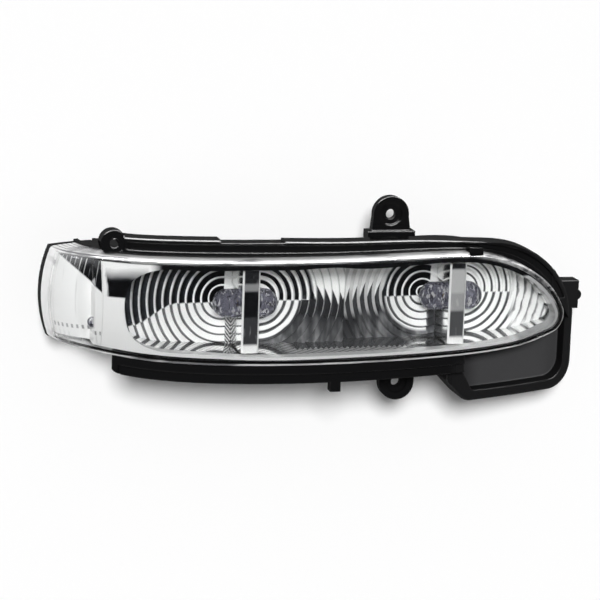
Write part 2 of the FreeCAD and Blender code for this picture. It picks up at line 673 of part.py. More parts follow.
# Clear side-facing diodes: a foot, a barrel and a round end
def diode(name, x, y, z, side, radius, length, foot_radius, foot):
    body = new_body(name)
    sketch = new_sketch(body, "XZ_Plane", name + "_half")
    rad, long, foot_rad, foot_tall = radius.value, length.value, foot_radius.value, foot.value
    start = long - rad
    low = Vector(0, 0, 0)
    a = Vector(foot_rad, 0, 0)
    b = Vector(foot_rad, foot_tall, 0)
    c = Vector(rad, foot_tall, 0)
    d = Vector(rad, start, 0)
    e = Vector(0, long, 0)
    sketch.addGeometry(Part.LineSegment(low, a), False)
    sketch.addGeometry(Part.LineSegment(a, b), False)
    sketch.addGeometry(Part.LineSegment(b, c), False)
    sketch.addGeometry(Part.LineSegment(c, d), False)
    turn = Part.ArcOfCircle(Part.Circle(Vector(0, start, 0), Vector(0, 0, 1), rad), 0, math.pi / 2)
    sketch.addGeometry(turn, False)
    sketch.addGeometry(Part.LineSegment(e, low), False)
    joints = [(0, 2, 1, 1), (1, 2, 2, 1), (2, 2, 3, 1), (3, 2, 4, 1), (4, 2, 5, 1), (5, 2, 0, 1)]
    for joint in joints:
        sketch.addConstraint(Sketcher.Constraint("Coincident", *joint))
    pin_point(sketch, 0, 1, 0, 0)
    pin_point(sketch, 0, 1, 1, 0)
    pin_point(sketch, 1, 1, 0, foot_radius)
    pin_point(sketch, 1, 1, 1, 0)
    pin_point(sketch, 1, 2, 0, foot_radius)
    pin_point(sketch, 1, 2, 1, foot)
    pin_point(sketch, 3, 1, 0, radius)
    pin_point(sketch, 3, 1, 1, foot)
    pin_point(sketch, 4, 3, 0, 0)
    pin_point(sketch, 4, 3, 1, length - radius)
    index = sketch.addConstraint(Sketcher.Constraint("Radius", 4, radius.value))
    bind(sketch, index, radius)
    pin_point(sketch, 4, 1, 1, length - radius)
    pin_point(sketch, 4, 2, 0, 0)
    turned(body, sketch, name + "_dome")
    # the body's axis is Z, turned to point left or right along the lamp
    placed(body, x, y, z, (0, 1, 0), 90.0 * side)
    return body


gap = num("pcb_thick") / 2.0
for name, cap_x, diode_y, side in (
    ("diode_one", "left_cap_x", "left_diode_y", -1),
    ("diode_two", "left_cap_x", "left_diode_y", 1),
    ("diode_three", "right_cap_x", "right_diode_y", -1),
    ("diode_four", "right_cap_x", "right_diode_y", 1),
):
    diode(name, num(cap_x) + side * gap, num(diode_y), num("diode_z"), side,
          size("diode_rad"), size("diode_long"), size("diode_foot_rad"), size("diode_foot"))


# Circuit boards
def upright_board(name, x, y0, y1, z, tall):
    body = new_body(name)
    sketch = new_sketch(body, "YZ_Plane", name + "_face")
    box_sketch(sketch, 0, y1 - y0, 0, tall)
    pad(body, sketch, name + "_sheet", size("pcb_thick"), both=True)
    placed(body, x, y0.value, z)
    return body


tall = size("diode_pcb_tall")
upright_board("left_diode_board", num("left_cap_x"), size("left_cap_front") + size("cap_wall") + 0.6, size("floor_left") + 4.0,
              num("diode_z") - tall.value / 2.0, tall)
upright_board("right_diode_board", num("right_cap_x"), size("right_cap_front") + size("cap_wall") + 0.6, size("floor_mid") + 8.0,
              num("diode_z") - tall.value / 2.0, tall)

board = new_body("main_board")
face = new_sketch(board, "XZ_Plane", "board_face")
half_long = size("board_long") / 2.0
half_tall = size("board_tall") / 2.0
zero = Size(0, "0")
box_sketch(face, zero - half_long, half_long, zero - half_tall, half_tall)
pad(board, face, "board_sheet", size("board_thick"), back=True)
drill = new_sketch(board, "XZ_Plane", "board_holes")
for side in (-1, 1):
    reach = half_long - size("hole_in")
    rise = half_tall - 3.2
    if side < 0:
        circle_sketch(drill, zero - reach, rise, size("screw_rad") + 0.3)
    else:
        circle_sketch(drill, reach, zero - rise, size("screw_rad") + 0.3)
blade_half = size("blade_wide") / 2.0
blade_side = size("blade_thick") / 2.0
pocket(board, drill, "board_screw_holes", size("board_thick") + 2.0, both=True)
for number, side in enumerate((-1.0, 1.0)):
    slot = new_sketch(board, "XZ_Plane", "blade_slot_%d" % number)
    middle = zero - 2.0 + size("blade_gap") * (side / 2.0)
    box_sketch(slot, middle - blade_half, middle + blade_half, zero - blade_side, blade_side)
    pocket(board, slot, "blade_slot_cut_%d" % number, size("board_thick") * 4.0, both=True)
placed(board, num("board_x"), num("board_y"), 0.0)


# Small parts, each a body or a group of alike solids
def turned_body(name, corners, x, y, z, axis=(1, 0, 0), turn=90.0):
    # a round part: half its section, turned about the body's own Z axis
    body = new_body(name)
    sketch = new_sketch(body, "XZ_Plane", name + "_half")
    outline_sketch(sketch, corners)
    turned(body, sketch, name + "_round")
    placed(body, x, y, z, axis, turn)
    return body


def group(name, shapes):
    return moulding(name, Part.makeCompound(shapes))


def chips(name, long, thick, tall, places):
    # alike flat parts on the front of the main board
    y = num("board_y") - thick
    x0 = num("board_x")
    group(name, [block(x0 + x, x0 + x + long, y, y + thick, z, z + tall) for x, z in places])


end_x = num("mirror_left") - 1.4
end_board_z = END_DIODE_Z - 4.5
upright_board("end_diode_board", end_x + 0.6, Size(16.9, "16.9"), Size(33.0, "33.0"), end_board_z, size("end_board_tall"))
diode("end_diode", end_x, END_DIODE_Y, END_DIODE_Z, -1, size("end_diode_rad"), size("end_diode_long"),
      size("end_diode_rad") + 0.2, size("pcb_thick") * 0.5)

# screws: shank, flat head and cross slot
screws = []
for x, z in board_holes():
    top = num("board_y")
    screw = rod(num("screw_rad") - 0.05, x, top, top + num("screw_long"), z)
    screw = screw.fuse(rod(num("screw_head_rad"), x, top - num("screw_head"), top, z))
    for wide, tall in ((1.3, 0.4), (0.4, 1.3)):
        cross = block(x - wide, x + wide, top - num("screw_head") - 1.0, top - num("screw_head") + 0.7, z - tall / 2, z + tall / 2)
        screw = screw.cut(cross)
    screws.append(screw)
group("board_screws", screws)

blades = []
for side in (-1, 1):
    x = num("board_x") - 2.0 + side * num("blade_gap") / 2.0
    w = num("blade_wide") / 2.0
    t = num("blade_thick") / 2.0
    blade = block(x - w, x + w, num("board_y") - 1.2, num("blade_end"), -t, t)
    tips = [edge for edge in blade.Edges if abs(edge.CenterOfMass.y - num("blade_end")) < 0.01]
    blades.append(blade.makeChamfer(0.3, tips))
group("blade_terminals", blades)

chips("resistors", 3.2, 0.6, 1.6, [(-15.0, -3.0), (-15.0, -6.0), (-9.5, -6.0), (-9.5, -9.5)])
chips("filter_capacitor", 7.3, 2.6, 4.3, [(6.0, 4.0)])

# protection diode: a moulded body with a folded tab at each end
y = num("board_y")
x = num("board_x") + 4.0
body_part = block(x, x + 4.4, y - 2.2, y - 0.15, -7.5, -3.9)
tabs = [block(x - 0.9, x, y - 1.2, y, -6.7, -4.7), block(x + 4.4, x + 5.3, y - 1.2, y, -6.7, -4.7)]
group("protection_diode", [body_part.fuse(tabs).removeSplitter()])

# driver chip: a flat body with four legs on each side
x = num("board_x") - 11.0
body_part = block(x, x + 5.0, y - 1.6, y - 0.15, 2.5, 6.5)
legs = []
for i in range(4):
    low = 2.5 + 0.3 + i * 0.97
    legs.append(block(x - 0.9, x, y - 0.9, y, low, low + 0.45))
    legs.append(block(x + 5.0, x + 5.9, y - 0.9, y, low, low + 0.45))
group("driver_chip", [body_part.fuse(legs).removeSplitter()])

# breather cap over the vent pipe on the back
back_rad = plan_rad - num("bowl_depth")
vent_y = plan_rad - math.sqrt(back_rad ** 2 - num("vent_x") ** 2)
cap = size("vent_cap_rad")
skirt_in = cap - 1.0
turned_body("vent_cap", [(0, 0), (skirt_in, 0), (skirt_in, 2.8), (cap, 2.8), (cap, Size(0, "0") - 1.2),
                         (0, Size(0, "0") - 1.2)], num("vent_x"), vent_y + num("vent_long"), num("vent_z"))


# Wires: straight runs joined by tangent arcs
def wire_run(points, z):
    rad = num("wire_rad")
    path = [Vector(x, y, z) for x, y in points]
    bend = 4.0
    edges = []
    last = path[0]
    for i in range(1, len(path) - 1):
        before = (path[i] - path[i - 1]).normalize()
        after = (path[i + 1] - path[i]).normalize()
        turn = before.getAngle(after)
        cut = bend * math.tan(turn / 2.0)
        a = path[i] - before * cut
        b = path[i] + after * cut
        middle = path[i] + (after - before).normalize() * (bend / math.cos(turn / 2.0) - bend)
        edges.append(Part.makeLine(last, a))
        edges.append(Part.Arc(a, middle, b).toShape())
        last = b
    edges.append(Part.makeLine(last, path[-1]))
    spine = Part.Wire(edges)
    start = (path[1] - path[0]).normalize()
    ring = Part.Wire([Part.makeCircle(rad, path[0], start)])
    return spine.makePipeShell([ring], True, False)


left_face = num("left_cap_x") + num("pcb_thick") / 2.0
route = [(left_face, WIRE_Y), (13.0, WIRE_Y), (23.0, num("board_y") - num("wire_rad")),
         (num("board_x") - num("board_long") / 2.0 + 2.2, num("board_y") - num("wire_rad"))]
group("main_wires", [wire_run(route, side * WIRE_Z) for side in (-1, 1)])
ends = [(end_x + 1.2, WIRE_Y), (num("left_cap_x") - num("pcb_thick") / 2.0, WIRE_Y)]
group("end_wires", [wire_run(ends, side * WIRE_Z) for side in (-1, 1)])

for obj in nodes:
    print(obj.Label, obj.Shape.isValid(), len(obj.Shape.Solids), round(obj.Shape.Volume, 1))

for obj in doc.Objects:
    if "Invalid" in obj.State or "Error" in obj.State:
        raise RuntimeError(obj.Label + " failed")
for obj in nodes:
    if obj.Shape.isNull() or not obj.Shape.isValid():
        raise RuntimeError(obj.Label + " has no valid shape")
for obj in nodes:
    obj.Shape.exportStep("parts/%s.step" % obj.Label)
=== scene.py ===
import math

import bmesh
import bpy
from mathutils import Matrix, Vector


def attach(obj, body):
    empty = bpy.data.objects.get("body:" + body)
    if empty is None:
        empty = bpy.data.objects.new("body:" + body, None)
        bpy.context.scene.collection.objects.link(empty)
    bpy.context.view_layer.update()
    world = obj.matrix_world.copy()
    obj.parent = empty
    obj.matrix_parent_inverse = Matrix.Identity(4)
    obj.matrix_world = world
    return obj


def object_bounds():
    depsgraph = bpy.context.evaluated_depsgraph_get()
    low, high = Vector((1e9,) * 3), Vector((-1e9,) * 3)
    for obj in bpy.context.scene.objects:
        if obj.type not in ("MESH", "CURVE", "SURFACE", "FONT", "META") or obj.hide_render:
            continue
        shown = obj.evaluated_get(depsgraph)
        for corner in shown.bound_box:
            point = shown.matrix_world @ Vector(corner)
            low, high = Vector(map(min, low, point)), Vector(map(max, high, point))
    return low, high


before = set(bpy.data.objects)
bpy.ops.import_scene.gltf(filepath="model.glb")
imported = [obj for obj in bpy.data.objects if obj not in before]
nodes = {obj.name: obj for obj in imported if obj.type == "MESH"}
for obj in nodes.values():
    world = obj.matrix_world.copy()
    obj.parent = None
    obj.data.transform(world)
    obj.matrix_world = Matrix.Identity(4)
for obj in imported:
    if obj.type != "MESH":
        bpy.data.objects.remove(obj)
cad_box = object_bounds()


# Rear housing: one black moulding that carries the screw ears, the rails,
# the pin, the clip and the lower right block. Its rails and ears are shiny,
# the block and the round right end are satin, and its panel is dark grey,
# with painted shade darkening it towards its left end.
class Wire:
    """A shader socket that takes part in sums."""

    def __init__(self, finish, socket):
        self.finish = finish
        self.socket = socket

    def maths(self, operation, other=0.0, flipped=False):
        pair = {0: other, 1: self} if flipped else {0: self, 1: other}
        return self.finish.add("ShaderNodeMath", {"operation": operation}, pair)

    def __add__(self, other):
        return self.maths("ADD", other)

    def __sub__(self, other):
        return self.maths("SUBTRACT", other)

    def __mul__(self, other):
        return self.maths("MULTIPLY", other)

    def __truediv__(self, other):
        return self.maths("DIVIDE", other)

    def __rsub__(self, other):
        return self.maths("SUBTRACT", other, True)

    __radd__ = __add__
    __rmul__ = __mul__

    def root(self):
        return self.maths("SQRT")

    def size(self):
        return self.maths("ABSOLUTE")

    def part(self):
        return self.maths("FRACT")

    def most(self, other):
        return self.maths("MAXIMUM", other)

    def least(self, other):
        return self.maths("MINIMUM", other)

    def step(self, start, end):
        """Rises smoothly from 0 to 1 between two values."""
        return self.finish.add(
            "ShaderNodeMapRange",
            {"interpolation_type": "SMOOTHSTEP"},
            {0: self, 1: start, 2: end, 3: 0.0, 4: 1.0},
        )

    def between(self, low, high, soft=0.2):
        """1 between two values, falling softly to 0 outside them."""
        return self.step(low - soft, low + soft) * (1.0 - self.step(high - soft, high + soft))


class Finish:
    """A material's nodes, added one by one by their type."""

    START = {"X": 46.7, "Y": 30.2, "Z": 35.4}

    def __init__(self, name, tree=None, **values):
        if tree is None:
            self.material = bpy.data.materials.new(name)
            self.material.use_nodes = True
            tree = self.material.node_tree
            self.shader = tree.nodes["Principled BSDF"]
            self.surface = Wire(self, self.shader.outputs[0])
        self.tree = tree
        for key, value in values.items():
            self.shader.inputs[key.replace("_", " ")].default_value = value

    def add(self, kind, settings=None, values=None, output=0):
        node = self.tree.nodes.new(kind)
        for key, value in (settings or {}).items():
            setattr(node, key, value)
        for key, value in (values or {}).items():
            if isinstance(value, Wire):
                self.tree.links.new(value.socket, node.inputs[key])
            else:
                node.inputs[key].default_value = value
        return Wire(self, node.outputs[output])

    def place(self, axis=None, output="Object"):
        """Position on the object in metres, whole or along one axis."""
        whole = self.add("ShaderNodeTexCoord", output=output)
        if axis is None:
            return whole
        return self.add("ShaderNodeSeparateXYZ", values={0: whole}, output=axis)

    def along(self, axis):
        """Position on the lamp in millimetres, from the middle of its plan curve."""
        return self.place(axis) * 1000.0 + self.START[axis]

    def facing(self, axis):
        """How far the surface faces along an axis, from -1 to 1."""
        return self.place(axis, "Normal")

    def noise(self, scale, detail=3.0, stretch=(1.0, 1.0, 1.0)):
        scaling = {"operation": "MULTIPLY"}
        where = self.add("ShaderNodeVectorMath", scaling, {0: self.place(), 1: stretch})
        values = {"Vector": where, "Scale": scale, "Detail": detail}
        return self.add("ShaderNodeTexNoise", values=values, output="Fac")

    def drive(self, key, wire):
        self.tree.links.new(wire.socket, self.shader.inputs[key])

    def bump(self, height, strength, depth, **values):
        values.update({"Height": height, "Strength": strength, "Distance": depth})
        return self.add("ShaderNodeBump", values=values)

    def blend(self, factor, first, second):
        values = {0: factor, 6: first, 7: second}
        return self.add("ShaderNodeMix", {"data_type": "RGBA"}, values, output=2)

    def choose(self, factor, first, second):
        """The first number where the factor is 0, the second where it is 1."""
        return self.add("ShaderNodeMix", {"data_type": "FLOAT"}, {0: factor, 2: first, 3: second})

    def layer(self, factor, kind, values=None):
        """Mixes another shader over the surface."""
        top = self.add(kind, values=values)
        self.surface = self.add("ShaderNodeMixShader", values={0: factor, 1: self.surface, 2: top})
        self.tree.links.new(self.surface.socket, self.tree.nodes["Material Output"].inputs["Surface"])

    def dress(self, *names):
        for name in names:
            piece = nodes[name]
            piece.data.materials.clear()
            piece.data.materials.append(self.material)


MM = 0.001
PLAN_RADIUS = 320.0
PANEL_DEPTH, PANEL_LEFT, PANEL_TOP = 18.0, 70.0, -4.0
BLOCK_LEFT, BLOCK_TOP = 73.0, -26.0
SATIN_START, SATIN_END = 100.0, 130.0
EDGE_ROUND = 1.1 * MM
GLOSS_SHARE, SATIN_LESS = 0.032, 0.012
black = Finish("black housing", Roughness=0.5, Specular_IOR_Level=0.0)
across = black.along("X")
deep = black.along("Y") - PLAN_RADIUS
height = black.along("Z")
depth = PLAN_RADIUS - (across * across + deep * deep).root()
panel_side = across.step(PANEL_LEFT - 1.0, PANEL_LEFT + 1.0)
panel_level = height.step(PANEL_TOP + 1.0, PANEL_TOP - 1.0)
on_panel = (depth - PANEL_DEPTH).size().step(0.5, 0.25) * panel_side * panel_level
lower_block = height.step(BLOCK_TOP + 2.0, BLOCK_TOP - 2.0) * across.step(BLOCK_LEFT - 3.0, BLOCK_LEFT + 3.0)
satin = across.step(SATIN_START, SATIN_END).most(lower_block)
# painted shade: the panel darkens towards its left end
panel_painted_shade = black.blend(across.step(78.0, 92.0), (0.016, 0.016, 0.017, 1), (0.056, 0.056, 0.058, 1))
grain = black.noise(900.0, 4.0)
clouds = black.noise(60.0)
plain_black = black.blend(satin, (0.006, 0.006, 0.0064, 1), (0.011, 0.011, 0.0115, 1))
black.drive("Base Color", black.blend(on_panel, plain_black, panel_painted_shade))
edges = black.add("ShaderNodeBevel", {"samples": 6}, {"Radius": EDGE_ROUND})
skin = black.bump(grain * (satin * 0.5 + 0.05) + clouds * 2.0, 0.4, 0.3 * MM, Normal=edges)
black.drive("Normal", skin)
gloss_rough = 0.05 + satin * 0.24 + on_panel * 0.2 + clouds * 0.06
gloss_share = GLOSS_SHARE - satin * SATIN_LESS
black.layer(gloss_share, "ShaderNodeBsdfAnisotropic", {"Roughness": gloss_rough, "Normal": skin})
black.dress("rear_housing")

# Ringed reflector: one plastic moulding with a bright metal skin laid on
# in a vacuum. Its stepped rings lie in four fields, one for each diode. The
# light and dark on the slopes and risers are painted reflections, laid on by
# place on the part.
RING_CENTRES = (-26.8, -11.2, 62.4, 81.4)
RING_LEVEL, RING_FIRST, RING_PITCH = 1.0, 6.0, 3.3
LEFT_CAP_X, RIGHT_CAP_X, FIELD_SPLIT = -19.2, 72.4, 26.0
PLATE_DEPTH, PAINTED_PALE_TONE = 7.6, 0.94
# pale and dark ends of the painted reflections on the bright skins
PAINTED_PALE_REFLECTION = (0.97, 0.975, 0.965, 1)
PAINTED_DARK_REFLECTION = (0.034, 0.036, 0.044, 1)


def clearness(tone):
    """1 where the skin is painted dark and mirrors, 0 where it is painted pale and clouded."""
    return (1.0 - tone * 5.0).most(0.0)


def lay_skin_with_painted_reflections(finish, tone, metal, rough):
    """Bright metal skin with painted reflections, from dark to pale by its tone."""
    finish.drive("Base Color", finish.blend(tone, PAINTED_DARK_REFLECTION, PAINTED_PALE_REFLECTION))
    finish.drive("Metallic", metal)
    finish.drive("Roughness", rough)


bright = Finish("ringed skin with painted reflections")
x = bright.along("X")
y = bright.along("Y")
z = bright.along("Z")
rise = z - RING_LEVEL
reach = None
for centre in RING_CENTRES:
    out = x - centre
    away = (out * out + rise * rise).root()
    reach = away if reach is None else reach.least(away)
turns = (reach - RING_FIRST) / RING_PITCH
phase = turns.part()
ring_number = {"W": turns.maths("FLOOR")}
luck = bright.add("ShaderNodeTexWhiteNoise", {"noise_dimensions": "1D"}, ring_number, "Value")
painted_reflection_noise = bright.noise(160.0, 3.0)
riser = phase.step(0.62, 0.76)
thin_riser = phase.step(0.74, 0.88)
wide_riser = phase.step(0.42, 0.56)
# left and third fields: painted reflections, dark on the slopes above the diode, pale below
sunk = 1.0 - x.step(-66.0, -46.0)
above = (z + 0.7 + sunk * 9.0).step(-0.4, 0.4)
plain_above = thin_riser * PAINTED_PALE_TONE + painted_reflection_noise.step(0.5, 0.8) * sunk * 0.03
plain = bright.choose(above, PAINTED_PALE_TONE - riser * 0.84, plain_above)
# second and fourth fields, near the diode: painted dark and pale reflections in equal parts
upper = (z + 0.4).step(-0.4, 0.4)
near_above = wide_riser * PAINTED_PALE_TONE + painted_reflection_noise.step(0.5, 0.7) * 0.08
near = bright.choose(upper, PAINTED_PALE_TONE - wide_riser * 0.86, near_above)
near_right_above = 0.9 - phase.between(0.24, 0.5, 0.06) * 0.8
near_right = bright.choose(upper, PAINTED_PALE_TONE - wide_riser * 0.84, near_right_above)
# between them, painted reflections: pale above, dark teeth at the diodes' height, grey below
spread = (x - FIELD_SPLIT).size()
teeth_low = spread * 0.16 - 9.6 + luck * 2.0
tooth = ((spread * 0.25 + 1.6 + luck * 1.6 - z) / 8.0).most(0.0).least(0.74)
saw = ((x + z * 0.4) / 2.3).part()
streak = bright.noise(240.0, 2.0, (1.0, 1.0, 0.12))
grey_floor = 0.03 + streak.step(0.4, 0.8) * 0.13 - z * 0.004
pale_top = 0.93 - riser * 0.26
middle = pale_top - (1.0 - phase.step(tooth - 0.07, tooth + 0.05)) * 0.88
middle = bright.choose((z - teeth_low).step(-3.0, 1.5), grey_floor, middle.most(0.03))
# far right: painted pale, with a faint waved patch of painted reflection
patch = x.between(104.0, 122.0, 2.0) * z.between(-13.0, 6.0, 3.0)
waved = (turns + painted_reflection_noise * 0.9).part()
tip = 0.93 - riser * 0.3 - patch * waved.between(0.25, 0.6, 0.1) * 0.66
# which field shows
past_split = x.step(FIELD_SPLIT - 1.0, FIELD_SPLIT + 1.0)
left_half = 1.0 - past_split
limit = bright.choose(upper, 15.5 + left_half * 2.0, 16.5 + left_half * 6.5) + luck * 1.5
outside = (reach - limit).step(-0.8, 0.8) * x.between(LEFT_CAP_X, RIGHT_CAP_X, 0.2)
inner = bright.choose(x.step(LEFT_CAP_X - 0.2, LEFT_CAP_X + 0.2), plain, near)
inner = bright.choose(past_split, inner, plain)
inner = bright.choose(x.step(RIGHT_CAP_X - 0.2, RIGHT_CAP_X + 0.2), inner, near_right)
inner = bright.choose(x.step(102.0, 106.0), inner, tip)
tone = bright.choose(outside, inner, middle)
# painted pale reflection patches above the caps' left sides, and painted reflected stripes below
slant = ((z + x * 1.3) / 1.7).part().between(0.25, 0.7, 0.1)
other_slant = ((z - x * 0.9) / 2.4).part().between(0.3, 0.75, 0.1)
# each patch: left and right ends, heights between which it comes in, and painted tone
for start, end, fade_from, fade_to, patch_tone in (
    (-26.0, -19.4, 4.6, 5.0, 0.9),
    (65.8, 72.6, 4.6, 5.0, 0.9),
    (-25.4, -19.4, -5.5, -6.0, 0.12 + slant * 0.45),
    (64.8, 72.6, -4.6, -5.2, 0.07 + streak.step(0.45, 0.7) * 0.2),
    (-19.0, -14.6, -7.5, -8.2, 0.2 + other_slant * 0.7),
):
    covered = x.between(start, end, 0.2) * z.step(fade_from, fade_to)
    tone = bright.choose(covered, tone, patch_tone)
# upright walls of the fields mirror the rings, and are painted pale, with painted dark strokes low down and
# a painted grey zone on the lower wall between the fields
steep = 1.0 - bright.facing("Y").size().step(0.18, 0.3)
painted_strokes = ((x + y * 0.9) / 3.0).part().between(0.3, 0.62, 0.1) * x.between(-60.0, 70.0, 2.0)
low_wall = 1.0 - z.step(-1.0, 1.0)
painted_wall_tone = 0.95 - painted_strokes * 0.95 * low_wall
painted_grey_wall = low_wall * x.between(2.0, 54.0, 2.0) * (y - 13.5 - saw * 4.0).step(-0.4, 0.4)
painted_wall_tone = bright.choose(painted_grey_wall, painted_wall_tone, 0.12)
# front plate: painted dark reflection band at the left, painted shade line along the top, painted greyer
# right end
from_plate = y - x * x / (2.0 * PLAN_RADIUS)
on_plate = 1.0 - from_plate.step(PLATE_DEPTH - 0.4, PLATE_DEPTH + 0.4)
wave = bright.noise(70.0, 2.0)
band_edge_noise = bright.noise(260.0, 3.0, (1.0, 1.0, 0.12))
wavy_top = 1.0 - z.step(wave * 6.0 + 9.4, wave * 6.0 + 15.4)
painted_dark_band = z.step(5.7, 6.5) * wavy_top * x.between(band_edge_noise * 5.0 - 80.6, -62.0, 0.7)
painted_shade_line = z.step(9.0, 11.0) * x.step(-62.0, -56.0)
painted_grey_side = x.step(100.0, 104.0) * (1.0 - z.step(9.0, 11.0)) * 0.5
painted_plate_tone = 0.93 - painted_dark_band.most(painted_shade_line).most(painted_grey_side) * 0.93
tone = bright.choose(steep, tone, painted_wall_tone)
mirror = 0.25 + low_wall * (1.0 - x.between(-2.0, 56.0, 4.0)) * 0.65
metal = bright.choose(steep, clearness(tone), mirror)
tone = bright.choose(on_plate, tone, painted_plate_tone)
metal = bright.choose(on_plate, metal, clearness(tone))
lay_skin_with_painted_reflections(bright, tone, metal, bright.choose(steep, 0.1 + tone * 0.2, 0.06))
bright.dress("ringed_reflector")

# End reflector: a small bright cover in the wrapped end, with painted
# reflections, pale below and dark above a slanting line, and painted light in
# soft upright streaks from the lens's flutes.
WRAP_X, WRAP_Y = -53.67, 48.25
FLUTE_TURN = 3.0
end_skin = Finish("end skin with painted reflections")
x = end_skin.along("X")
y = end_skin.along("Y")
z = end_skin.along("Z")
slope_line = -60.4 - x * 0.85
turn = (x - WRAP_X).maths("ARCTAN2", y - WRAP_Y) * math.degrees(1.0)
flute = (turn / FLUTE_TURN).part()
streak_noise = end_skin.noise(300.0, 2.0, (1.0, 1.0, 0.08))
# painted light: pale upright streaks on the dark side
painted_lit_streaks = flute.between(0.35, 0.5, 0.08) * streak_noise.step(0.42, 0.6)
dark_side = (z - slope_line).step(-0.5, 0.5)
upper_grey = z.step(14.5, 18.0) * 0.08
dark_tone = 0.01 + painted_lit_streaks * 0.7 + upper_grey
pale_tone = 0.93 - flute.between(0.2, 0.5, 0.15) * streak_noise.step(0.5, 0.8) * 0.2
ticks = flute.between(0.2, 0.6, 0.1) * z.between(-10.4, -8.8, 0.2)
tone = end_skin.choose(dark_side, pale_tone - ticks * 0.6, dark_tone)
tone = end_skin.choose(x.step(-79.9, -79.7), tone, 0.9)
lay_skin_with_painted_reflections(end_skin, tone, clearness(tone), 0.1 + tone * 0.2)
end_skin.dress("end_reflector")

# Divider caps: bright channels over the diode boards, with painted reflections.
# The left one's face is painted dark between its pale edges, the right one's face is painted grey.
CAP_EDGE = 3.0
# each stop: height, painted tone below it and painted tone above it
LEFT_PAINTED_STOPS = ((-14.2, 0.9, 0.07), (-2.6, 0.10, 0.004), (8.0, 0.012, 0.26), (11.2, 0.2, 0.03))
RIGHT_PAINTED_STOPS = ((-14.6, 0.92, 0.11), (-3.5, 0.16, 0.34), (4.0, 0.36, 0.5), (14.2, 0.52, 0.015))
for name, middle_x, stops in (
    ("left_divider_cap", LEFT_CAP_X, LEFT_PAINTED_STOPS),
    ("right_divider_cap", RIGHT_CAP_X, RIGHT_PAINTED_STOPS),
):
    cap_skin = Finish(name.replace("_", " ") + " skin")
    x = cap_skin.along("X")
    z = cap_skin.along("Z")
    inner = (x - middle_x).size().step(CAP_EDGE + 0.15, CAP_EDGE - 0.15)
    front = cap_skin.facing("Y").size().step(0.5, 0.7)
    marks_and_painted_glints = cap_skin.noise(420.0, 3.0, (1.0, 1.0, 0.3))
    face = None
    for level, below, over in stops:
        upper = z.step(level - 0.8, level + 0.8)
        face = cap_skin.choose(upper, below if face is None else face, over)
    # pale flecks on the face are painted glints; the same noise varies the roughness
    face = face + marks_and_painted_glints.step(0.55, 0.75) * 0.12
    tone = cap_skin.choose(front * inner, 0.92, face)
    metal = cap_skin.choose(front, 1.0, clearness(tone))
    lay_skin_with_painted_reflections(cap_skin, tone, metal, 0.08 + marks_and_painted_glints * 0.1)
    cap_skin.dress(name)

# Circuit boards: glass fibre sheet under green lacquer, with small parts
# soldered to the front of the main board.
board = Finish("green board", Roughness=0.35)
tracks = board.add(
    "ShaderNodeTexBrick",
    {"offset": 0.5},
    {"Vector": board.place(), "Scale": 160.0, "Mortar Size": 0.03},
    output="Fac",
)
board.drive("Base Color", board.blend(tracks, (0.02, 0.09, 0.04, 1), (0.05, 0.17, 0.08, 1)))
board.drive("Normal", board.bump(tracks, 0.2, 0.1 * MM))
board.dress("main_board", "left_diode_board", "right_diode_board", "end_diode_board")


def grained(name, scale, dark, pale, *pieces, **values):
    """A material of two close tones, mixed by a fine grain."""
    made = Finish(name, **values)
    grain = made.noise(scale)
    made.drive("Base Color", made.blend(grain, dark + (1,), pale + (1,)))
    made.dress(*pieces)
    return made, grain


CHIP_TONES = (0.015, 0.015, 0.017), (0.04, 0.04, 0.042)
CAPACITOR_TONES = (0.42, 0.22, 0.05), (0.55, 0.32, 0.09)
METAL_TONES = (0.55, 0.54, 0.5), (0.72, 0.7, 0.66)
COVER_TONES = (0.3, 0.02, 0.015), (0.4, 0.03, 0.02)
grained("moulded chips", 1500.0, *CHIP_TONES, "resistors", "protection_diode", "driver_chip", Roughness=0.5)
grained("capacitor block", 800.0, *CAPACITOR_TONES, "filter_capacitor", Roughness=0.4)
plated, plated_grain = grained(
    "plated metal", 1200.0, *METAL_TONES, "blade_terminals", "board_screws", Metallic=1.0
)
plated.drive("Roughness", 0.2 + plated_grain * 0.2)
grained("wire covers", 600.0, *COVER_TONES, "main_wires", "end_wires", Roughness=0.45)

# Clear diodes: resin domes on a foot. The four that face sideways have a square
# carrier, a yellow chip and two posts set inside.
resin = Finish("clear resin", Roughness=0.03, IOR=1.45, Transmission_Weight=0.6)
resin_haze = resin.noise(520.0, 3.0, (1.5, 1.0, 0.6))
resin_lines = resin.noise(420.0, 1.0, (1.0, 1.0, 0.5))
# pale flecks in the resin's colour are painted glints; thin dark lines run through it too
painted_glints = resin_haze.step(0.55, 0.61)
dark_lines = 1.0 - (resin_lines - 0.5).size().step(0.012, 0.035)
resin_body = resin.blend(painted_glints, (0.27, 0.27, 0.34, 1), (0.95, 0.95, 0.97, 1))
resin.drive("Base Color", resin.blend(dark_lines * 0.85, resin_body, (0.02, 0.02, 0.03, 1)))
resin.dress("diode_one", "diode_two", "diode_three", "diode_four", "end_diode")
FRAME_TONES = (0.3, 0.3, 0.33), (0.6, 0.6, 0.64)
SEED_TONES = (0.75, 0.5, 0.06), (0.9, 0.68, 0.15)
inner_metal = grained("diode frame", 900.0, *FRAME_TONES, Metallic=1.0, Roughness=0.3)[0]
inner_chip = grained("diode chip", 900.0, *SEED_TONES, Roughness=0.5)[0]
